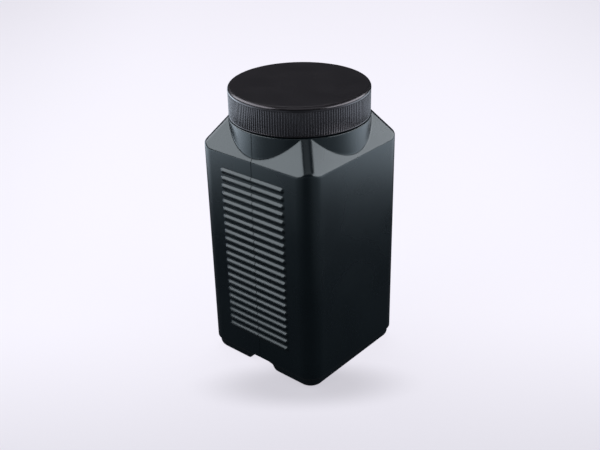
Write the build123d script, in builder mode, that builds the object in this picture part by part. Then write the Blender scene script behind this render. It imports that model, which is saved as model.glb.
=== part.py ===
from build123d import *
from math import cos, pi, radians, sin, tan
import os

# Square wide-mouth jar with a screw cap. Millimetres. +Z is up, the origin is at the middle of the
# base, the grip ribs are on the -X and +X faces and the plain label faces are -Y and +Y.

# How far a cut or a joined form runs past the face that it crosses
overrun = 1.0

# Body: a square with round upright corners on a slightly smaller foot, cut to a four-sided shoulder
body_width = 112.0
corner_radius = 13.5
shoulder_height = 184.0
shoulder_angle = 55.0
shoulder_ridge_radius = 12.8
shoulder_edge_radius = 1.6
foot_height = 8.0
foot_inset = 2.0
foot_bevel_height = 2.2
heel_radius = 5.6
inner_heel_bevel = 3.0
wall = 1.4

# Base: a push-up panel inside the standing ring, and the pinch-off channel across it along X
base_ring_width = 6.0
panel_corner_radius = 8.0
panel_depth = 7.0
panel_draft = 40.0
channel_mouth_width = 33.0
channel_roof_width = 20.0
channel_depth = 10.6
pinch_seam_width = 1.4
pinch_seam_height = 0.6

# Grip ribs: level bars with sloping sides and ends, one above the other
rib_length = 64.0
rib_width = 4.6
rib_proud = 1.7
rib_sunk = 0.3
rib_slope = 55.0
rib_pitch = 6.55
lowest_rib_height = 32.2
highest_rib_drop = 13.6

# Collar: the round step above the shoulder, and the neck that stands on it
collar_inset = 1.8
collar_rise = 22.2
collar_edge_bevel = 0.9
neck_step = 4.0
neck_rise = 19.8
neck_wall = 1.8

# Room between the plain neck and the cap for the screw thread, whose fine ridges aren't modelled
thread_depth = 1.5
thread_running_gap = 0.4

# Sealing liner: a foam disc held up in the cap by a snap bead
liner_thickness = 2.0
liner_edge_gap = 0.5
bead_grip = 0.4
bead_height = 1.4
bead_gap = 0.4

# Cap: flat top, rounded edge, plain band and a finely grooved skirt
cap_wall = 2.0
cap_top_thickness = 1.9
cap_edge_radius = 3.5
cap_edge_steps = 3
cap_skirt_gap = 0.8
knurl_count = 170
knurl_relief = 0.1
knurl_depth = 0.45
knurl_foot = 1.0
knurl_height = 15.8

# Places worked out from the sizes above
half_width = body_width / 2
foot_side = half_width - foot_inset
shoulder_slope = tan(radians(shoulder_angle))
rib_count = int((shoulder_height - lowest_rib_height - highest_rib_drop) / rib_pitch) + 1
rib_height = rib_sunk + rib_proud
rib_places = [(0, lowest_rib_height + row * rib_pitch) for row in range(rib_count)]
collar_radius = half_width - collar_inset
collar_top = shoulder_height + collar_rise
neck_radius = collar_radius - neck_step
bore_radius = neck_radius - neck_wall
rim_top = collar_top + neck_rise

cap_bore_radius = neck_radius + thread_depth + thread_running_gap
cap_radius = cap_bore_radius + cap_wall
cap_bottom = collar_top + cap_skirt_gap
cap_ceiling = rim_top + liner_thickness
cap_top = cap_ceiling + cap_top_thickness
liner_radius = cap_bore_radius - liner_edge_gap

bead_top = rim_top - bead_gap
bead_radius = liner_radius - bead_grip
knurl_crest = cap_radius - knurl_relief
knurl_root = knurl_crest - knurl_depth


def jar_form(inset):
    """Closed form of body, shoulder and collar, moved inward by inset on every side.

    An upright square prism is cut by a four-sided pyramid, so the shoulder's edge rises a little
    at the round corners, and a round collar stands through the pyramid."""
    side = half_width - inset
    edge_height = shoulder_height - inset * tan(radians(90 - shoulder_angle) / 2)
    form_height = collar_top - 2 * inset
    pyramid_side = side + (edge_height - inset) / shoulder_slope
    with BuildPart() as pyramid:
        with BuildSketch(Plane.XY.offset(inset)):
            Rectangle(2 * pyramid_side, 2 * pyramid_side)
        extrude(amount=form_height, taper=90 - shoulder_angle)
        ridges = pyramid.edges().group_by(Axis.Z)[1]
        fillet(ridges, radius=shoulder_ridge_radius - inset)
    with BuildPart() as form:
        with BuildSketch(Plane.XY.offset(foot_height)):
            RectangleRounded(2 * side, 2 * side, corner_radius - inset)
        extrude(amount=inset + form_height - foot_height)
        add(pyramid.part, mode=Mode.INTERSECT)
        foot_edges = form.edges().group_by(Axis.Z)[0]
        under = form.faces().sort_by(Axis.Z)[0]
        chamfer(foot_edges, length=foot_inset, length2=foot_bevel_height, reference=under)
        with BuildSketch(Plane.XY.offset(inset)):
            RectangleRounded(
                2 * (foot_side - inset),
                2 * (foot_side - inset),
                corner_radius - foot_inset - inset,
            )
        extrude(amount=foot_height - inset)
        with BuildSketch(Plane.XY.offset(edge_height)):
            Circle(collar_radius - inset)
        extrude(amount=inset + form_height - edge_height)
    return form.part


def base_relief(grow):
    """Hollow under the base, a push-up panel crossed by the pinch-off channel, grown by grow."""
    draft = radians(panel_draft)
    panel_roof = panel_depth + grow
    ring_side = foot_side - heel_radius - base_ring_width + grow / cos(draft)
    mouth_side = ring_side + overrun * tan(draft)
    roof_side = ring_side - panel_roof * tan(draft)
    with BuildPart() as relief:
        with BuildSketch(Plane.XY.offset(-overrun)):
            RectangleRounded(2 * mouth_side, 2 * mouth_side, panel_corner_radius + grow)
        with BuildSketch(Plane.XY.offset(panel_roof)):
            RectangleRounded(2 * roof_side, 2 * roof_side, panel_corner_radius + grow)
        loft(ruled=True)
        with BuildSketch(Plane.YZ):
            with BuildLine():
                Polyline(
                    (-channel_mouth_width / 2, -overrun),
                    (-channel_mouth_width / 2, 0),
                    (-channel_roof_width / 2, channel_depth),
                    (channel_roof_width / 2, channel_depth),
                    (channel_mouth_width / 2, 0),
                    (channel_mouth_width / 2, -overrun),
                    close=True,
                )
            make_face()
            offset(amount=grow, kind=Kind.INTERSECTION)
        extrude(amount=half_width + overrun, both=True)
    return relief.part


# Outside of the jar, with its round heel and the small round along the shoulder's edge
with BuildPart() as outside:
    add(jar_form(0))
    fillet(outside.edges().group_by(Axis.Z)[0], radius=heel_radius)
    shoulder_edge = [
        edge
        for edge in outside.edges()
        if edge.bounding_box().min.Z > shoulder_height - overrun
        and edge.bounding_box().max.Z < shoulder_height + collar_rise / 2
    ]
    fillet(shoulder_edge, radius=shoulder_edge_radius)

# Inside of the jar: the form one wall in, over the base's hollow, with the bore of the neck
with BuildPart() as cavity:
    add(jar_form(wall))
    chamfer(cavity.edges().group_by(Axis.Z)[0], length=inner_heel_bevel)
    add(base_relief(wall), mode=Mode.SUBTRACT)
    with BuildSketch(Plane.XY.offset(collar_top - wall - overrun)):
        Circle(bore_radius)
    extrude(amount=neck_rise + wall + 2 * overrun)

# One grip rib, lying along X: a bar with sloping sides and ends
with BuildPart() as rib:
    with BuildSketch(Plane.XZ):
        Trapezoid(rib_length, rib_height, rib_slope, align=(Align.CENTER, Align.MIN))
    extrude(amount=rib_width / 2, both=True)
    with BuildSketch(Plane.YZ):
        Trapezoid(rib_width, rib_height, rib_slope, align=(Align.CENTER, Align.MIN))
    extrude(amount=rib_length / 2, both=True, mode=Mode.INTERSECT)

# Grip ribs: a column of them on each ribbed face, their backs sunk in the wall
with BuildPart(Plane.YZ.offset(half_width - rib_sunk)) as grip_ribs:
    with Locations(*rib_places):
        add(rib.part)
    mirror(about=Plane.YZ)

# Jar body: one blow-moulded shell, from the base to the threaded neck
with BuildPart() as jar_body:
    add(outside.part)
    with BuildSketch(Plane.XZ) as neck_section:
        with BuildLine():
            Polyline(
                (0, shoulder_height),
                (collar_radius, shoulder_height),
                (collar_radius, collar_top),
                (neck_radius, collar_top),
                (neck_radius, rim_top),
                (0, rim_top),
                close=True,
            )
        make_face()
    revolve(axis=Axis.Z)
    collar_edge = jar_body.edges().filter_by(GeomType.CIRCLE).filter_by_position(
        Axis.Z, collar_top, collar_top
    ).sort_by(SortBy.RADIUS)[-1]
    chamfer(collar_edge, length=collar_edge_bevel)
    add(grip_ribs.part)
    add(base_relief(0), mode=Mode.SUBTRACT)
    add(cavity.part, mode=Mode.SUBTRACT)
    with Locations((0, 0, channel_depth - pinch_seam_height)):
        Box(
            2 * (foot_side - heel_radius),
            pinch_seam_width,
            pinch_seam_height + wall / 2,
            align=(Align.CENTER, Align.CENTER, Align.MIN),
        )

# Outline of the knurled skirt: crests and valleys in turn, evenly round the cap
knurl_outline = []
for ridge in range(knurl_count):
    crest_angle = 2 * pi * ridge / knurl_count
    valley_angle = 2 * pi * (ridge + 1 / 2) / knurl_count
    knurl_outline.append((knurl_crest * cos(crest_angle), knurl_crest * sin(crest_angle)))
    knurl_outline.append((knurl_root * cos(valley_angle), knurl_root * sin(valley_angle)))

# Rounded top edge of the cap, a quarter circle in a few straight steps
cap_edge = []
for step in range(cap_edge_steps + 1):
    turn = pi / 2 * step / cap_edge_steps
    cap_edge.append(
        (
            cap_radius - cap_edge_radius * (1 - sin(turn)),
            cap_top - cap_edge_radius * (1 - cos(turn)),
        )
    )

# Screw cap: revolved top and skirt, with the snap bead and the grip grooves
with BuildPart() as screw_cap:
    with BuildSketch(Plane.XZ):
        with BuildLine():
            Polyline(
                (0, cap_ceiling),
                (0, cap_top),
                *cap_edge,
                (cap_radius, cap_bottom),
                (cap_bore_radius, cap_bottom),
                (cap_bore_radius, cap_ceiling),
                close=True,
            )
        make_face()
    revolve(axis=Axis.Z)
    with BuildSketch(Plane.XZ):
        with BuildLine():
            Polyline(
                (cap_bore_radius + cap_wall / 2, bead_top),
                (cap_bore_radius, bead_top),
                (bead_radius, bead_top - bead_height / 2),
                (cap_bore_radius, bead_top - bead_height),
                (cap_bore_radius + cap_wall / 2, bead_top - bead_height),
                close=True,
            )
        make_face()
    revolve(axis=Axis.Z)
    with BuildSketch(Plane.XY.offset(cap_bottom + knurl_foot)):
        Circle(cap_radius + overrun)
        Polygon(*knurl_outline, align=None, mode=Mode.SUBTRACT)
    extrude(amount=knurl_height, mode=Mode.SUBTRACT)

# Sealing liner: a foam disc between the rim and the cap's ceiling
with BuildPart() as sealing_liner:
    with BuildSketch(Plane.XY.offset(rim_top)):
        Circle(liner_radius)
    extrude(amount=liner_thickness)

jar_body.part.label = "jar_body"
screw_cap.part.label = "screw_cap"
sealing_liner.part.label = "sealing_liner"

os.makedirs("parts", exist_ok=True)
for piece in (jar_body, screw_cap, sealing_liner):
    export_step(piece.part, f"parts/{piece.part.label}.step")
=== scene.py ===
from math import cos, pi, radians, sin, tan

import bmesh
import bpy
import numpy as np
from mathutils import Matrix, Vector


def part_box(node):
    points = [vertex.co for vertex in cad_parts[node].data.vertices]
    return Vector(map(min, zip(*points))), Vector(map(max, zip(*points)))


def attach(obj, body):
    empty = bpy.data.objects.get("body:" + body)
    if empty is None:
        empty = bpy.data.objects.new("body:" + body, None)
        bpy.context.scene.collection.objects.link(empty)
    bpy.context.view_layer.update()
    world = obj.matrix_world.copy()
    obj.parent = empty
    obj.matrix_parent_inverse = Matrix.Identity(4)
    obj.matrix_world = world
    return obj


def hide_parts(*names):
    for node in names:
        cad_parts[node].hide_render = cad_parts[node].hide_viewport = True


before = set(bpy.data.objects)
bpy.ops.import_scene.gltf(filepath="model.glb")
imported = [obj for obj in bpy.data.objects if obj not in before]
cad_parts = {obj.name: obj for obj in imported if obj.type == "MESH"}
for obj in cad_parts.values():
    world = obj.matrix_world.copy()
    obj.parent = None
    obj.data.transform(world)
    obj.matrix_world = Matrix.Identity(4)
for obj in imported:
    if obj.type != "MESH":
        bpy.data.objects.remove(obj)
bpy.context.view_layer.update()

# Everything is in metres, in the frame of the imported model.
MM = 0.001

# Edges that turn by more than this are shaded as creases
sharp_angle = radians(38)

# Points of one mesh that are closer than this are one point
merge_distance = 1e-6

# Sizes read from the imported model
jar_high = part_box("jar_body")[1]
cap_low, cap_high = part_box("screw_cap")
liner_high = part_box("sealing_liner")[1]

half_width = jar_high.y
rim_top = jar_high.z
cap_radius = cap_high.y
cap_bottom = cap_low.z
cap_top = cap_high.z
cap_ceiling = liner_high.z

# Body and foot
corner_radius = 13.5 * MM
corner_steps = 22
column_spacing = 1.0 * MM
foot_height = 8.0 * MM
foot_inset = 2.0 * MM
foot_bevel_height = 2.2 * MM
heel_radius = 5.6 * MM
wall = 1.4 * MM
inner_foot_height = 10.0 * MM

# Base: a push-up panel inside the standing ring, and a channel across it whose widths are halved here
ring_width = 6.0 * MM
panel_mouth = half_width - foot_inset - heel_radius - ring_width
panel_depth = 7.0 * MM
panel_run = 5.9 * MM
panel_corner = 8.0 * MM
panel_roundness = 0.6
channel_mouth = 16.5 * MM
channel_roof = 10.0 * MM
channel_depth = 10.6 * MM
channel_crease = 0.4 * MM
channel_wall = 1.6 * MM
notch_reach = 14.0 * MM

# Shoulder and collar. The shoulder's forms are worked out from shoulder_reach below its edge upwards.
shoulder_height = 184.0 * MM
shoulder_angle = 55.0
shoulder_slope = tan(radians(shoulder_angle))
shoulder_reach = 4.0 * MM
ridge_radius = 6.2 * MM
shoulder_edge_blend = 0.5 * MM
shoulder_corner_blend = 2.4 * MM
corner_sharpness = 6
collar_inset = 1.8 * MM
collar_rise = 22.2 * MM
collar_radius = half_width - collar_inset
collar_top = shoulder_height + collar_rise
collar_edge = 0.9 * MM
collar_foot_blend = 0.9 * MM

# Neck
neck_step = 4.0 * MM
neck_wall = 1.8 * MM
neck_radius = collar_radius - neck_step
bore_radius = neck_radius - neck_wall
neck_foot = 0.6 * MM
neck_row_rise = 8.0 * MM
bore_foot = 0.2 * MM
rim_round = 0.5 * MM

# Grip ribs on the -X and +X faces
rib_count = 22
rib_pitch = 6.55 * MM
lowest_rib = 32.1 * MM
rib_length = 63.6 * MM
rib_reach = 2.42 * MM
rib_side_slope = tan(radians(38.0))
rib_proud = jar_high.x - half_width
rib_sunk = 0.3 * MM
rib_tuck = 0.004 * MM
rib_crest_blend = 0.8 * MM
rib_foot_blend = 0.6 * MM

# Parting line of the mould, down the middle of both ribbed faces and over the ribs' crests
seam_half_width = 0.35 * MM
seam_depth = 0.28 * MM
seam_rib_height = 0.3 * MM

# Cap: round edge, plain band, fine recess, knurled skirt and plain foot
cap_edge = 2.9 * MM
recess_depth = 0.4 * MM
recess_height = 0.45 * MM
recess_bevel = 0.15 * MM
knurl_count = 170
knurl_points = 8
knurl_fullness = 0.85
knurl_relief = 0.1 * MM
knurl_depth = 0.48 * MM
knurl_foot = 1.0 * MM
knurl_height = 17.8 * MM
knurl_end = 0.1 * MM
knurl_bottom = cap_bottom + knurl_foot
knurl_top = knurl_bottom + knurl_height
thread_room = 1.9 * MM
cap_bore = neck_radius + thread_room
cap_bore_edge = 0.3 * MM
cap_bore_corner = 0.6 * MM
bead_drop = 2.4 * MM
bead_top = cap_ceiling - bead_drop
bead_height = 1.4 * MM
bead_proud = 0.9 * MM

# Screw thread, one start, right-handed
thread_lead = 6.0 * MM
thread_turns = 1.4
thread_steps = 200
thread_depth = 1.4 * MM
thread_bite = 0.25 * MM
thread_root = 2.8 * MM
thread_crest = 1.4 * MM
thread_fade = 14
thread_end_depth = 0.02
thread_end_height = 0.4
thread_drop = 4.5 * MM
thread_bottom = rim_top - thread_drop - thread_lead * thread_turns
thread_offset = 2.45 * MM


def grid_faces(points):
    """Vertices and faces of a grid of points (rows, columns, 3) that closes round its columns.

    Row i and row i + 1 are joined by quads. A first or last row that is one point is a pole and is
    joined by triangles."""
    rows, columns = points.shape[:2]
    first_pole = np.ptp(points[0], axis=0).max() < merge_distance
    last_pole = np.ptp(points[-1], axis=0).max() < merge_distance
    body = points[int(first_pole) : rows - int(last_pole)]
    height = body.shape[0]
    vertices = body.reshape(-1, 3)
    row, column = np.meshgrid(np.arange(height - 1), np.arange(columns), indexing="ij")
    here = row * columns + column
    beside = row * columns + (column + 1) % columns
    quads = np.stack([here, beside, beside + columns, here + columns], -1)
    faces = quads.reshape(-1, 4).tolist()
    around = np.arange(columns)
    after = (around + 1) % columns
    if first_pole:
        vertices = np.vstack([vertices, points[0, :1]])
        pole = np.full(columns, len(vertices) - 1)
        faces += np.stack([pole, after, around], -1).tolist()
    if last_pole:
        vertices = np.vstack([vertices, points[-1, :1]])
        pole = np.full(columns, len(vertices) - 1)
        last = (height - 1) * columns
        faces += np.stack([pole, last + around, last + after], -1).tolist()
    return vertices, faces


def joined_grids(name, grids, faces_out=True):
    """One smooth object from several closed grids, whose doubled points are merged."""
    vertices, polygons = [], []
    count = 0
    for grid in grids:
        points, faces = grid_faces(grid)
        vertices.append(points)
        polygons += [[count + index for index in face] for face in faces]
        count += len(points)
    if not faces_out:
        polygons = [polygon[::-1] for polygon in polygons]
    mesh = bpy.data.meshes.new(name)
    mesh.from_pydata(np.concatenate(vertices).tolist(), [], polygons)
    work = bmesh.new()
    work.from_mesh(mesh)
    bmesh.ops.remove_doubles(work, verts=work.verts, dist=merge_distance)
    work.to_mesh(mesh)
    work.free()
    mesh.polygons.foreach_set("use_smooth", np.ones(len(mesh.polygons), bool))
    mesh.set_sharp_from_angle(angle=sharp_angle)
    piece = bpy.data.objects.new(name, mesh)
    bpy.context.scene.collection.objects.link(piece)
    return piece


def grid_mesh(name, points, faces_out=True):
    """One smooth object from one closed grid."""
    return joined_grids(name, [points], faces_out)


def smooth_max(a, b, blend):
    """The larger of a and b, rounded where they differ by less than blend.

    There it is raised by (1 - |a - b| / blend)^2 blend / 4."""
    share = np.clip(1 - np.abs(a - b) / blend, 0, None)
    return np.maximum(a, b) + share * share * blend / 4


def smooth_min(a, b, blend):
    """The smaller of a and b, rounded where they differ by less than blend."""
    return -smooth_max(-a, -b, blend)


def square_columns(ribbed_shares, plain_shares):
    """Columns round a rounded square, as pairs (straight, round) of unit vectors.

    A column's point on the outline with half side h and corner radius r is
    (h - r) * straight + r * round. The shares place the columns of a side, from -1 to 1, first for the
    -X and +X sides and then for the other two."""
    turn = np.linspace(0, pi / 2, corner_steps + 1)[1:-1]
    corner = np.stack([np.cos(turn), np.sin(turn)], -1)
    straight, rounded = [], []
    for quarter in range(4):
        c, s = round(cos(quarter * pi / 2)), round(sin(quarter * pi / 2))
        rotation = np.array([[c, s], [-s, c]])
        shares = plain_shares if quarter % 2 else ribbed_shares
        side = np.stack([np.ones_like(shares), shares], -1)
        straight += [side @ rotation, np.ones_like(corner) @ rotation]
        rounded += [side * (1, 0) @ rotation, corner @ rotation]
    return np.concatenate(straight), np.concatenate(rounded)


def square_outline(columns, half, radius):
    """Points (rows, columns, 2) of rounded squares, with a half side and a corner radius for each row."""
    straight, rounded = columns
    half = np.asarray(half)[..., None, None]
    radius = np.asarray(radius)[..., None, None]
    return (half - radius) * straight + radius * rounded


def square_reach(direction, half, radius):
    """Distance from the middle of a rounded square to its outline, along a unit direction.

    With c and s the direction's larger and smaller part, it is half / c on a flat side. On a corner arc
    with centre (b, b) and b = half - radius it is b (c + s) + sqrt(radius^2 - b^2 (c - s)^2)."""
    c = np.abs(direction).max(-1)
    s = np.abs(direction).min(-1)
    flat = half / c
    centre = half - radius
    inside = np.clip(radius**2 - (centre * (c - s)) ** 2, 0, None)
    arc = centre * (c + s) + np.sqrt(inside)
    return np.where(flat * s > centre, arc, flat)


def channel_height(y):
    """Height of the pinch-off channel's ceiling above the floor, across the base: a trapezoid in y."""
    share = (channel_mouth - np.abs(y)) / (channel_mouth - channel_roof)
    return np.clip(share, 0, 1) * channel_depth


def panel_height(half):
    """Height of the push-up panel's ceiling on the ring with this half side: flat, then a slope."""
    return np.clip((panel_mouth - half) / panel_run, 0, 1) * panel_depth


def foot_setback(z):
    """How far the wall stands in at height z: a quarter round heel, an upright foot and a bevel."""
    rise = np.clip(heel_radius - z, 0, heel_radius)
    heel = heel_radius - np.sqrt(np.clip(heel_radius**2 - rise**2, 0, None))
    share = (foot_height + foot_bevel_height - z) / foot_bevel_height
    return heel + foot_inset * np.clip(share, 0, 1)


def seam_cut(y):
    """How deep the parting line is: a fine round groove along y = 0."""
    return seam_depth * np.clip(1 - (y / seam_half_width) ** 2, 0, None)


def flat_shares(extra):
    """Places across one flat side, from -1 to 1: evenly spaced, with extra ones given in metres."""
    centre = half_width - corner_radius
    even = np.linspace(-centre, centre, 2 * round(centre / column_spacing) + 1)
    places = np.concatenate([even, extra, -extra])
    return np.unique(np.round(places / centre, 5))


def with_height(outline, z):
    """Points (rows, columns, 3) from outlines (rows, columns, 2) and heights that fit them."""
    return np.concatenate([outline, np.broadcast_to(z, outline.shape[:2])[..., None]], -1)


def make_jar_shell():
    """The jar without its ribs, as one closed sheet from the middle of the base, up the outside, over
    the rim and down the inside to the middle of the floor.

    Below the shoulder the outlines are rounded squares set back by the foot. From the shoulder up, the
    reach from the axis is the larger of the collar's and the smaller of the body's and the pyramid's,
    with rounded corners between them."""
    # Columns, with extra ones at the parting line and at the channel's creases on the ribbed faces
    seam = np.array([0, 0.3, 0.7, 1]) * seam_half_width
    creases = [channel_roof - channel_crease, channel_roof + channel_crease, channel_mouth]
    columns = square_columns(flat_shares(np.concatenate([seam, creases])), flat_shares(np.array([])))
    straight, rounded = columns
    base = square_outline(columns, half_width, corner_radius)
    direction = base / np.linalg.norm(base, axis=-1)[:, None]
    cornering = (np.abs(direction).min(-1) / np.abs(direction).max(-1)) ** corner_sharpness
    ribbed = np.abs(rounded[:, 0]) == 1

    def form(z, inset):
        """Distance from the axis to body, shoulder and collar at height z, moved inwards by inset."""
        edge = shoulder_height - inset * tan(radians(90 - shoulder_angle) / 2)
        body = square_reach(direction, half_width - inset, corner_radius - inset)
        pyramid_half = half_width - inset - (z - edge) / shoulder_slope
        pyramid = square_reach(direction, pyramid_half, ridge_radius - inset)
        blend = shoulder_edge_blend + (shoulder_corner_blend - shoulder_edge_blend) * cornering
        drop = np.clip((z - (collar_top - inset - collar_edge)) / collar_edge, 0, 1)
        collar = collar_radius - inset - collar_edge * (1 - np.sqrt(1 - drop**2))
        reach = smooth_max(smooth_min(body, pyramid, blend), collar, collar_foot_blend)
        return np.where(z < edge - shoulder_reach, body, reach)

    # Rings under the base, from the middle of the panel to the standing ring
    slope = panel_run * np.array([0.06, 0.5, 0.94, 1.06])
    halves = np.concatenate(
        [
            np.linspace(0, panel_mouth - panel_run, 14),
            panel_mouth - panel_run + slope,
            panel_mouth + ring_width * np.array([0.5, 0.9]),
        ]
    )
    under = square_outline(columns, halves, np.minimum(panel_corner, halves * panel_roundness))
    ceiling = np.maximum(panel_height(halves)[:, None], channel_height(under[..., 1]))
    bottom = with_height(under, ceiling)

    # Rows up heel, foot and body. The lowest ones rise over the mouths of the channel.
    heel_turn = np.linspace(0, pi / 2, 9)
    heights = np.concatenate(
        [
            heel_radius * (1 - np.cos(heel_turn)),
            foot_height + np.array([-0.1, 0.1]) * MM,
            foot_height + foot_bevel_height * np.array([0.95, 1.05]),
            np.array([12, 14, 50, 100, 150, 178, 181, 182.6]) * MM,
        ]
    )[:, None]
    notch = np.where(ribbed, channel_height(base[:, 1]), 0)
    share = np.clip(heights / notch_reach, 0, 1)
    z = np.where(heights < notch_reach, notch + share * (notch_reach - notch), heights)
    setback = foot_setback(z)[..., None]
    flat = (half_width - corner_radius) * straight + (corner_radius - setback) * rounded
    side = with_height(flat, z)

    # Rows over the shoulder's edge, up the shoulder and round the collar's edge
    rise = np.concatenate(
        [
            shoulder_height + np.linspace(-0.8, 0.8, 9) * MM,
            shoulder_height + np.linspace(1.1, 20.9, 56) * MM,
            collar_top - collar_edge + collar_edge * np.sin(np.linspace(0, pi / 2, 6)),
        ]
    )[:, None]
    top = with_height(form(rise, 0.0)[..., None] * direction, rise)

    outside = np.concatenate([side, top])
    seam_line = seam_cut(outside[..., 1]) * ribbed * (outside[..., 2] > foot_height)
    outside[..., 0] -= np.sign(outside[..., 0]) * seam_line

    # Round rows of the neck: (distance from the axis, height)
    turn = np.linspace(0, pi / 2, 5)
    round_in = rim_round * (1 - np.cos(turn))
    round_up = rim_round * (1 - np.sin(turn))
    neck = np.concatenate(
        [
            [
                [collar_radius - collar_edge - 0.15 * MM, collar_top],
                [neck_radius + neck_foot, collar_top],
                [neck_radius + 0.3 * neck_foot, collar_top + 0.3 * neck_foot],
                [neck_radius, collar_top + neck_foot],
                [neck_radius, collar_top + neck_row_rise],
            ],
            np.stack([neck_radius - round_in, rim_top - round_up], -1),
            np.stack([bore_radius + round_up, rim_top - round_in], -1),
            [
                [bore_radius, rim_top - 2 * rim_round],
                [bore_radius, collar_top],
                [bore_radius, collar_top - wall + bore_foot],
                [bore_radius + bore_foot, collar_top - wall],
            ],
        ]
    )
    neck_rows = with_height(neck[:, :1, None] * direction, neck[:, 1:])

    # Rows down the inside, one wall in, and rings over the floor, which follows the base's hollow
    fall = np.concatenate(
        [
            [collar_top - wall - 0.02 * MM],
            np.linspace(collar_top - 2.4 * MM, shoulder_height - 0.5 * MM, 24),
            np.array([182, 90, 16, 8]) * MM,
        ]
    )[:, None]
    inner_reach = form(fall, wall) - np.where(fall < inner_foot_height, foot_inset, 0)
    inner_channel = channel_height(np.clip(np.abs(base[:, 1]) - channel_wall, 0, None)) * ribbed
    inside = with_height(inner_reach[..., None] * direction, np.maximum(fall, inner_channel + wall))
    floor_halves = np.concatenate([np.linspace(49, 36, 6), np.linspace(34, 0, 10)]) * MM
    floor_corners = np.minimum(panel_corner, floor_halves * panel_roundness)
    floor_ring = square_outline(columns, floor_halves, floor_corners)
    floor_channel = channel_height(np.clip(np.abs(floor_ring[..., 1]) - channel_wall, 0, None))
    floor = np.maximum(panel_height(floor_halves - wall)[:, None], floor_channel) + wall
    ground = with_height(floor_ring, floor)
    return grid_mesh("jar_shell", np.concatenate([bottom, outside, neck_rows, inside, ground]))


def make_grip_ribs():
    """All grip ribs, as one mesh of closed bars sunk a little in the wall.

    At distance d from its middle line a rib stands out by slope (reach - d), cut off at the crest and
    at the wall with rounded corners, so it is a roof with conical ends. Its rings are drawn round the
    middle line."""
    reach = rib_length / 2 - rib_reach
    along = np.concatenate([np.linspace(0, 1, 9) * reach, np.array([0.3, 1]) * seam_half_width])
    along = np.unique(np.concatenate([-along, along]))
    turn = np.linspace(-pi / 2, pi / 2, 13)[1:-1]
    end = np.stack([np.cos(turn), np.sin(turn)], -1)
    upward = np.stack([np.zeros(len(along)), np.ones(len(along))], -1)
    tip = np.full(len(turn), reach)
    middle = np.concatenate([along, tip, along[::-1], -tip])
    side = np.concatenate([-upward, end, upward, -end])

    # Rings, as shares of the reach, closer together where the form turns
    steps = [0, 0.06, 0.12, 0.18, 0.26, 0.36, 0.6, 0.85, 0.91, 0.96, 1.0, 1.05, 1.1]
    distance = np.array(steps)[:, None] * rib_reach
    roof = (rib_reach - distance) * rib_side_slope
    bar = smooth_min(roof, rib_proud, rib_crest_blend)
    proud = smooth_max(bar, 0.0, rib_foot_blend) - rib_tuck
    y = middle + distance * side[:, 0]
    z = distance * side[:, 1]
    x = proud - seam_cut(y) * (proud > seam_rib_height)
    rings = np.stack([half_width + x, y, z], -1)
    sunk = rings[-1] * 1.0
    sunk[:, 0] = half_width - rib_sunk
    pole = np.broadcast_to([half_width - rib_sunk, 0, 0], sunk.shape)
    one = np.concatenate([rings, sunk[None], pole[None]])
    centres = lowest_rib + np.arange(rib_count) * rib_pitch
    ribs = []
    for sign in (1, -1):
        turned = one * (sign, sign, 1)
        for centre in centres:
            ribs.append(turned + (0, 0, centre))
    return joined_grids("grip_ribs", ribs, faces_out=False)


def make_thread(name, radius, outward, bottom):
    """Helical ridge with a trapezoid section that shrinks to almost nothing at both ends.

    Along the turn t from 0 to 1 the middle of the section is at angle 2 pi turns t and height
    bottom + lead turns t, and it stands out by depth min(1, fade t, fade (1 - t))."""
    steps = np.linspace(0, 1, thread_steps + 1)[:, None]
    angle = 2 * pi * thread_turns * steps
    fade = np.clip(np.minimum(steps, 1 - steps) * thread_fade, thread_end_depth, 1)
    reach = np.array([-thread_bite, 0, 1, 1, 0, -thread_bite])
    half_section = np.array([thread_root, thread_root, thread_crest]) / 2
    across = np.concatenate([-half_section, half_section[::-1]])
    stand = np.where(reach == 1, thread_depth * fade, reach)
    distance = radius + outward * stand
    thickness = thread_end_height + (1 - thread_end_height) * fade
    z = bottom + thread_lead * thread_turns * steps + across * thickness
    ridge = np.stack([distance * np.cos(angle), distance * np.sin(angle), z], -1)
    ends = [np.broadcast_to(ridge[i].mean(0), ridge[i].shape)[None] for i in (0, -1)]
    points = np.concatenate([ends[0], ridge, ends[1]])
    return grid_mesh(name, points, faces_out=outward < 0)


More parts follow.
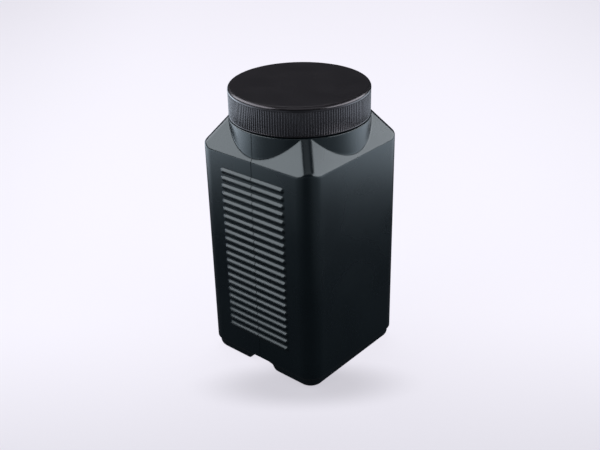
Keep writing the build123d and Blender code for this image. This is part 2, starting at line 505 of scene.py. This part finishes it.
def make_cap():
    """The cap as one profile turned round the axis, with the skirt's radius waved by the knurling.

    On the knurled rows the radius is less by depth (1 - ridge), where ridge is the fullness and the
    cosine of the count times the angle added up, and cut off at 0 and 1."""
    columns = knurl_count * knurl_points
    angle = np.arange(columns) * 2 * pi / columns
    ridge = np.clip(knurl_fullness + np.cos(knurl_count * angle), 0, 1)

    # Profile: (distance from the axis, height), from the middle of the top, down the outside, round the
    # foot and up the inside to the middle of the ceiling. Extra rings divide the flat top.
    turn = np.linspace(0, pi / 2, 9)
    edge_in = cap_edge * (1 - np.sin(turn))
    edge_down = cap_edge * (1 - np.cos(turn))
    middle = [[0, cap_top], [15 * MM, cap_top], [30 * MM, cap_top], [44 * MM, cap_top]]
    top_edge = np.stack([cap_radius - edge_in, cap_top - edge_down], -1)
    recess_bottom = knurl_top + 0.05 * MM
    recess_top = recess_bottom + recess_height
    recess = [
        [cap_radius, recess_top + recess_bevel],
        [cap_radius - recess_depth, recess_top],
        [cap_radius - recess_depth, recess_bottom],
    ]
    knurled = [
        [cap_radius - knurl_relief, knurl_top - knurl_end],
        [cap_radius - knurl_relief, knurl_bottom + knurl_end],
    ]
    foot = [
        [cap_radius - 0.05 * MM, knurl_bottom],
        [cap_radius, knurl_bottom - 0.15 * MM],
        [cap_radius, cap_bottom + 0.3 * MM],
        [cap_radius - 0.1 * MM, cap_bottom + 0.08 * MM],
        [cap_radius - 0.35 * MM, cap_bottom],
        [cap_bore + cap_bore_edge, cap_bottom],
        [cap_bore, cap_bottom + cap_bore_edge],
    ]
    inner = [
        [cap_bore, bead_top - bead_height],
        [cap_bore - bead_proud, bead_top - bead_height / 2],
        [cap_bore, bead_top],
        [cap_bore, cap_ceiling - cap_bore_corner],
        [cap_bore - cap_bore_corner, cap_ceiling],
        [30 * MM, cap_ceiling],
        [0, cap_ceiling],
    ]
    parts = [middle, top_edge, recess, knurled, foot, inner]
    profile = np.concatenate(parts)
    grooved = np.concatenate([np.full(len(part), part is knurled) for part in parts])
    radius = profile[:, :1] - grooved[:, None] * knurl_depth * (1 - ridge)
    height = np.broadcast_to(profile[:, 1:], radius.shape)
    points = np.stack([radius * np.cos(angle), radius * np.sin(angle), height], -1)
    return grid_mesh("cap_shell", points, faces_out=False)


def surface_group():
    """Node group for moulded plastic: grain and slow waves as a height, and the waves as a mottle."""
    group = bpy.data.node_groups.new("moulded_skin", "ShaderNodeTree")
    for name in ("Grain Size", "Grain Depth", "Wave Size", "Wave Depth"):
        group.interface.new_socket(name=name, in_out="INPUT", socket_type="NodeSocketFloat")
    for name in ("Height", "Mottle"):
        group.interface.new_socket(name=name, in_out="OUTPUT", socket_type="NodeSocketFloat")
    nodes, links = group.nodes, group.links
    entry = nodes.new("NodeGroupInput")
    leave = nodes.new("NodeGroupOutput")
    place = nodes.new("ShaderNodeTexCoord")

    def noise(size_socket):
        """Soft noise on the piece's own coordinates, whose blotches have the size in the socket."""
        texture = nodes.new("ShaderNodeTexNoise")
        texture.inputs["Detail"].default_value = 1.0
        scale = nodes.new("ShaderNodeMath")
        scale.operation = "DIVIDE"
        scale.inputs[0].default_value = 1.0
        links.new(entry.outputs[size_socket], scale.inputs[1])
        links.new(scale.outputs[0], texture.inputs["Scale"])
        links.new(place.outputs["Object"], texture.inputs["Vector"])
        return texture.outputs["Fac"]

    def times(a, b):
        """Product of two outputs."""
        product = nodes.new("ShaderNodeMath")
        product.operation = "MULTIPLY"
        links.new(a, product.inputs[0])
        links.new(b, product.inputs[1])
        return product.outputs[0]

    grain = noise("Grain Size")
    wave = noise("Wave Size")
    total = nodes.new("ShaderNodeMath")
    total.operation = "ADD"
    links.new(times(grain, entry.outputs["Grain Depth"]), total.inputs[0])
    links.new(times(wave, entry.outputs["Wave Depth"]), total.inputs[1])
    links.new(total.outputs[0], leave.inputs["Height"])
    links.new(wave, leave.inputs["Mottle"])
    return group


skin = surface_group()

# The mottle's lowest and highest value, between which the roughness runs
mottle_low, mottle_high = 0.3, 0.7


def plastic(name, dark, light, gloss, grain, wave, tint=(1, 1, 1), specular=0.5, matt_top=None):
    """Moulded plastic: mottled colour between dark and light, mottled roughness gloss (low, high), and a
    bump from the skin group with grain (size, depth) and wave (size, depth) in metres.

    The tint and the specular level set its reflections. With matt_top (height, depth, extra) the
    roughness grows by extra over the last depth below that height."""
    material = bpy.data.materials.new(name)
    material.use_nodes = True
    nodes, links = material.node_tree.nodes, material.node_tree.links
    shader = nodes["Principled BSDF"]
    texture = nodes.new("ShaderNodeGroup")
    texture.node_tree = skin
    texture.inputs["Grain Size"].default_value = grain[0]
    texture.inputs["Grain Depth"].default_value = grain[1]
    texture.inputs["Wave Size"].default_value = wave[0]
    texture.inputs["Wave Depth"].default_value = wave[1]
    colour = nodes.new("ShaderNodeMix")
    colour.data_type = "RGBA"
    colour.inputs["A"].default_value = (*dark, 1)
    colour.inputs["B"].default_value = (*light, 1)
    links.new(texture.outputs["Mottle"], colour.inputs["Factor"])
    links.new(colour.outputs["Result"], shader.inputs["Base Color"])
    rough = nodes.new("ShaderNodeMapRange")
    rough.inputs["From Min"].default_value = mottle_low
    rough.inputs["From Max"].default_value = mottle_high
    rough.inputs["To Min"].default_value = gloss[0]
    rough.inputs["To Max"].default_value = gloss[1]
    links.new(texture.outputs["Mottle"], rough.inputs["Value"])
    roughness = rough.outputs["Result"]
    if matt_top is not None:
        height, depth, extra = matt_top
        place = nodes.new("ShaderNodeTexCoord")
        axes = nodes.new("ShaderNodeSeparateXYZ")
        links.new(place.outputs["Object"], axes.inputs[0])
        matt = nodes.new("ShaderNodeMapRange")
        matt.inputs["From Min"].default_value = height - depth
        matt.inputs["From Max"].default_value = height
        matt.inputs["To Max"].default_value = extra
        links.new(axes.outputs["Z"], matt.inputs["Value"])
        total = nodes.new("ShaderNodeMath")
        total.operation = "ADD"
        links.new(roughness, total.inputs[0])
        links.new(matt.outputs["Result"], total.inputs[1])
        roughness = total.outputs[0]
    links.new(roughness, shader.inputs["Roughness"])
    shader.inputs["Specular Tint"].default_value = (*tint, 1)
    shader.inputs["Specular IOR Level"].default_value = specular
    bump = nodes.new("ShaderNodeBump")
    bump.inputs["Distance"].default_value = 1.0
    links.new(texture.outputs["Height"], bump.inputs["Height"])
    links.new(bump.outputs["Normal"], shader.inputs["Normal"])
    return material


body_plastic = plastic(
    "blown_black_plastic",
    dark=(0.0015, 0.0038, 0.0052),
    light=(0.0026, 0.006, 0.0078),
    gloss=(0.25, 0.3),
    grain=(3.0 * MM, 0.008 * MM),
    wave=(40 * MM, 0.08 * MM),
    tint=(0.9, 1.0, 1.0),
)
cap_plastic = plastic(
    "moulded_black_plastic",
    dark=(0.0012, 0.0011, 0.0013),
    light=(0.002, 0.0019, 0.0022),
    gloss=(0.22, 0.27),
    grain=(1.6 * MM, 0.006 * MM),
    wave=(18 * MM, 0.03 * MM),
    tint=(1.0, 0.93, 0.97),
    specular=0.68,
    matt_top=(cap_top, 1.2 * MM, 0.24),
)
foam = plastic(
    "liner_foam",
    dark=(0.74, 0.74, 0.72),
    light=(0.84, 0.84, 0.82),
    gloss=(0.6, 0.7),
    grain=(0.7 * MM, 0.06 * MM),
    wave=(12 * MM, 0.05 * MM),
)

# Pieces of the jar
jar_shell = make_jar_shell()
grip_ribs = make_grip_ribs()
neck_thread = make_thread("neck_thread", neck_radius, 1, thread_bottom)
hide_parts("jar_body")
for piece in (jar_shell, grip_ribs, neck_thread):
    piece.data.materials.append(body_plastic)
    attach(piece, "jar")

# Pieces of the cap
cap_shell = make_cap()
cap_thread = make_thread("cap_thread", cap_bore, -1, thread_bottom - thread_offset)
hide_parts("screw_cap")
for piece in (cap_shell, cap_thread):
    piece.data.materials.append(cap_plastic)
    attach(piece, "cap")

# The liner keeps its own shape and gets the foam
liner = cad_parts["sealing_liner"]
liner.data.materials.clear()
liner.data.materials.append(foam)

# Camera, as fitted to the photograph's outlines. Angles are in radians, and the focal length, the
# image's width and the aim's place right of and below the image's middle are in pixels.
aim = Vector((0, 0, 0.112))
azimuth, elevation, roll = -0.8571, 0.4758, -0.0217
distance = 0.7274
focal_pixels = 899.1
image_width = 600
aim_right, aim_down = 2.13, -2.54
sensor_width = 36
back = Vector((sin(azimuth) * cos(elevation), -cos(azimuth) * cos(elevation), sin(elevation)))
right = Vector((cos(azimuth), sin(azimuth), 0))
up = back.cross(right)
camera_right = right * cos(roll) + up * sin(roll)
camera_up = up * cos(roll) - right * sin(roll)
camera_turn = Matrix((camera_right, camera_up, back)).transposed().to_4x4()
camera_data = bpy.data.cameras.new("camera")
camera_data.sensor_width = sensor_width
camera_data.lens = focal_pixels / image_width * sensor_width
camera_data.shift_x = -aim_right / image_width
camera_data.shift_y = aim_down / image_width
camera = bpy.data.objects.new("camera", camera_data)
camera.matrix_world = Matrix.Translation(aim + back * distance) @ camera_turn
bpy.context.scene.collection.objects.link(camera)
bpy.context.scene.camera = camera

# Floor, a plain square under the object
floor_half = 6.0
floor_mesh = bpy.data.meshes.new("floor")
corners = [(-1, -1), (1, -1), (1, 1), (-1, 1)]
floor_mesh.from_pydata([(x * floor_half, y * floor_half, 0) for x, y in corners], [], [(0, 1, 2, 3)])
floor = bpy.data.objects.new("floor", floor_mesh)
bpy.context.scene.collection.objects.link(floor)

# Floor's colours: as it takes the light, and as its glow makes it pale to the camera
floor_colour = (0.12, 0.12, 0.123)
floor_bounce = (0.03, 0.03, 0.033)
background_colour = (0.9, 0.875, 0.955)
background_share = 0.902

# Painted shade in the floor's glow for the camera: (right, toward the camera, half width, half depth,
# share of it that is full, strength), in metres. The first is a painted shadow under the object's nearest
# corner; the others darken the floor toward the camera and to the sides.
toward_camera = Vector((sin(azimuth), -cos(azimuth), 0))
shades = (
    (0.0, 0.066, 0.1, 0.037, 0.3, 0.22),
    (0.0, 2.6, 6.0, 2.65, 0.885, 0.25),
    (-2.6, 0.0, 2.4, 6.0, 0.83, 0.1),
    (2.6, 0.0, 2.4, 6.0, 0.83, 0.08),
)

# Painted pools of light in the floor's glow, which the object mirrors: (right, toward the camera,
# strength), in metres
pool_colour = (0.79, 0.9, 1.03)
pool_floor = 0.03
pool_edge = 0.72
pool_core = 0.7
pools = (
    (-1.0, -0.35, 2.0),
    (-1.05, -0.05, 0.6),
    (-0.75, -0.85, 1.2),
    (-0.85, 0.6, 0.5),
    (1.0, -0.35, 1.6),
    (1.05, -0.05, 0.75),
    (0.85, 0.6, 0.35),
    (0.72, 0.45, 0.15),
    (0.0, 1.15, 0.2),
)


def floor_material():
    """Matt floor that takes the object's shadow and glows by the kind of ray that meets it.

    Its glow is pale with painted shade and a painted shadow for camera rays, dim with painted pools of
    light for glossy rays, and none for the others."""
    material = bpy.data.materials.new("pale_floor")
    material.use_nodes = True
    nodes, links = material.node_tree.nodes, material.node_tree.links
    shader = nodes["Principled BSDF"]
    shader.inputs["Roughness"].default_value = 0.9
    shader.inputs["Specular IOR Level"].default_value = 0.0
    path = nodes.new("ShaderNodeLightPath")
    place = nodes.new("ShaderNodeTexCoord")

    def by_camera(others, camera, socket):
        """Gives a socket one colour for camera rays and another for all others."""
        mix = nodes.new("ShaderNodeMix")
        mix.data_type = "RGBA"
        mix.inputs["A"].default_value = (*others, 1)
        mix.inputs["B"].default_value = (*camera, 1)
        links.new(path.outputs["Is Camera Ray"], mix.inputs["Factor"])
        links.new(mix.outputs["Result"], shader.inputs[socket])

    def multiply_add(value, factor, rest):
        """The value times the factor plus the rest, each a number or an output."""
        node = nodes.new("ShaderNodeMath")
        node.operation = "MULTIPLY_ADD"
        for socket, source in zip(node.inputs, (value, factor, rest)):
            if isinstance(source, float):
                socket.default_value = source
            else:
                links.new(source, socket)
        return node.outputs[0]

    def soft_oval(side, ahead, across, deep, core):
        """Mask that is 1 in the core of an oval and falls smoothly to 0 at its edge."""
        placed = nodes.new("ShaderNodeMapping")
        placed.vector_type = "TEXTURE"
        placed.inputs["Location"].default_value = right * side + toward_camera * ahead
        placed.inputs["Rotation"].default_value = (0, 0, azimuth)
        placed.inputs["Scale"].default_value = (across, deep, 1)
        links.new(place.outputs["Object"], placed.inputs["Vector"])
        away = nodes.new("ShaderNodeVectorMath")
        away.operation = "LENGTH"
        links.new(placed.outputs["Vector"], away.inputs[0])
        oval = nodes.new("ShaderNodeMapRange")
        oval.interpolation_type = "SMOOTHSTEP"
        oval.inputs["From Min"].default_value = 1.0
        oval.inputs["From Max"].default_value = core
        links.new(away.outputs["Value"], oval.inputs["Value"])
        return oval.outputs["Result"]

    by_camera(floor_bounce, floor_colour, "Base Color")
    by_camera(pool_colour, background_colour, "Emission Color")
    glow = pool_floor
    # Painted pools of light, seen only by glossy rays
    for side, ahead, strength in pools:
        pool = soft_oval(side, ahead, pool_edge, pool_edge, pool_core)
        glow = multiply_add(pool, strength, glow)
    share = background_share
    # Painted shade and shadow: each oval dims the glow that the camera sees
    for side, ahead, across, deep, core, strength in shades:
        shade = soft_oval(side, ahead, across, deep, core)
        share = multiply_add(shade, -strength, share)
    mirrored = multiply_add(path.outputs["Is Glossy Ray"], glow, 0.0)
    seen = multiply_add(path.outputs["Is Camera Ray"], share, mirrored)
    links.new(seen, shader.inputs["Emission Strength"])
    return material


floor_mesh.materials.append(floor_material())

# World: a dim room, pale to the camera
room_colour = (0.055, 0.055, 0.066)
room_background = (0.86, 0.84, 0.91)
world = bpy.data.worlds.new("room")
world.use_nodes = True
nodes, links = world.node_tree.nodes, world.node_tree.links
path = nodes.new("ShaderNodeLightPath")
room = nodes.new("ShaderNodeMix")
room.data_type = "RGBA"
room.inputs["A"].default_value = (*room_colour, 1)
room.inputs["B"].default_value = (*room_background, 1)
links.new(path.outputs["Is Camera Ray"], room.inputs["Factor"])
links.new(room.outputs["Result"], nodes["Background"].inputs["Color"])
bpy.context.scene.world = world

# Softboxes, all at one distance from the aim
lamp_reach = 1.3
light_colour = (0.94, 0.96, 1.03)


def softbox(name, side_angle, height_angle, width, height, radiance, mirrored=True):
    """Area light facing the object, turned by side_angle to the right of the camera and raised by
    height_angle. One that isn't mirrored lights the object and doesn't show in its gloss."""
    turn = azimuth + side_angle
    level = Vector((sin(turn), -cos(turn), 0))
    direction = level * cos(height_angle) + Vector((0, 0, sin(height_angle)))
    data = bpy.data.lights.new(name, "AREA")
    data.shape = "RECTANGLE"
    data.color = light_colour
    data.size = width
    data.size_y = height
    data.energy = radiance * width * height * pi
    lamp = bpy.data.objects.new(name, data)
    lamp.location = aim + direction * lamp_reach
    lamp.visible_glossy = mirrored
    lamp.rotation_euler = direction.to_track_quat("Z", "Y").to_euler()
    bpy.context.scene.collection.objects.link(lamp)


softbox("left_softbox", radians(-88), radians(31), 2.1, 0.74, 4.4)
softbox("right_softbox", radians(82), radians(20.5), 2.0, 0.6, 4.7)
softbox("front_softbox", radians(5), radians(52), 1.2, 0.9, 0.6)
softbox("top_softbox", radians(180), radians(72), 1.0, 0.3, 1.6)
softbox("back_softbox", radians(180), radians(62), 0.8, 0.6, 4.0, mirrored=False)

bpy.context.scene.view_settings.view_transform = "Standard"
